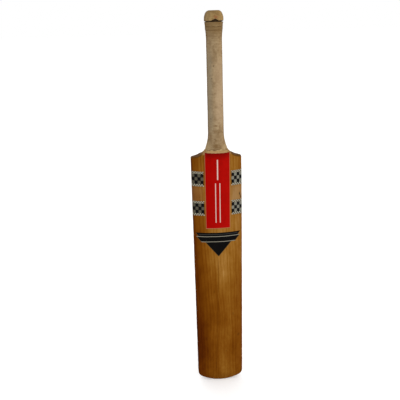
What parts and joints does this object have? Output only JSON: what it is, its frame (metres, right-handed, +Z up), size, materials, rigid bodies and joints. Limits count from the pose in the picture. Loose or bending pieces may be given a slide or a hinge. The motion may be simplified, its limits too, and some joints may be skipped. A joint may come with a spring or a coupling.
{
  "type": "cricket bat",
  "caption": "Full-size cricket bat with a flat-faced willow blade, a spliced and sprung cane handle, twine binding, rubber grip and plain back labels.",
  "frame": {"origin": "middle of the hand grip, on the handle's axis", "axes": "+Z up the handle, away from the toe; +Y the outward normal of the flat playing face; -Y the rounded back with the labels; +X to the right when the back is seen with the handle up"},
  "size_m": [0.108, 0.0391, 0.854],
  "materials": {
    "willow": "aged, oiled and lightly polished",
    "cane": "planed, bare",
    "spring_rubber": "matt",
    "twine": "waxed linen twine",
    "grip_rubber": "aged, dull, fine ribs",
    "red_label": "satin film",
    "checked_label": "satin film, black and silver-grey checks",
    "black_label": "satin film"
  },
  "bodies": {
    "root": {"blade": "willow", "twine_binding": "twine", "grip_sleeve": "grip_rubber", "grip_head_cuff": "grip_rubber", "cane_back_left": "cane", "cane_back_centre": "cane", "cane_back_right": "cane", "cane_midback_left": "cane", "cane_midback_centre": "cane", "cane_midback_right": "cane", "cane_midfront_left": "cane", "cane_midfront_centre": "cane", "cane_midfront_right": "cane", "cane_front_left": "cane", "cane_front_centre": "cane", "cane_front_right": "cane", "rubber_spring_back": "spring_rubber", "rubber_spring_middle": "spring_rubber", "rubber_spring_front": "spring_rubber", "back_label": "red_label", "checked_band_upper_left": "checked_label", "checked_band_upper_right": "checked_label", "checked_band_lower_left": "checked_label", "checked_band_lower_right": "checked_label", "pennant_label": "black_label"}
  },
  "joints": []
}
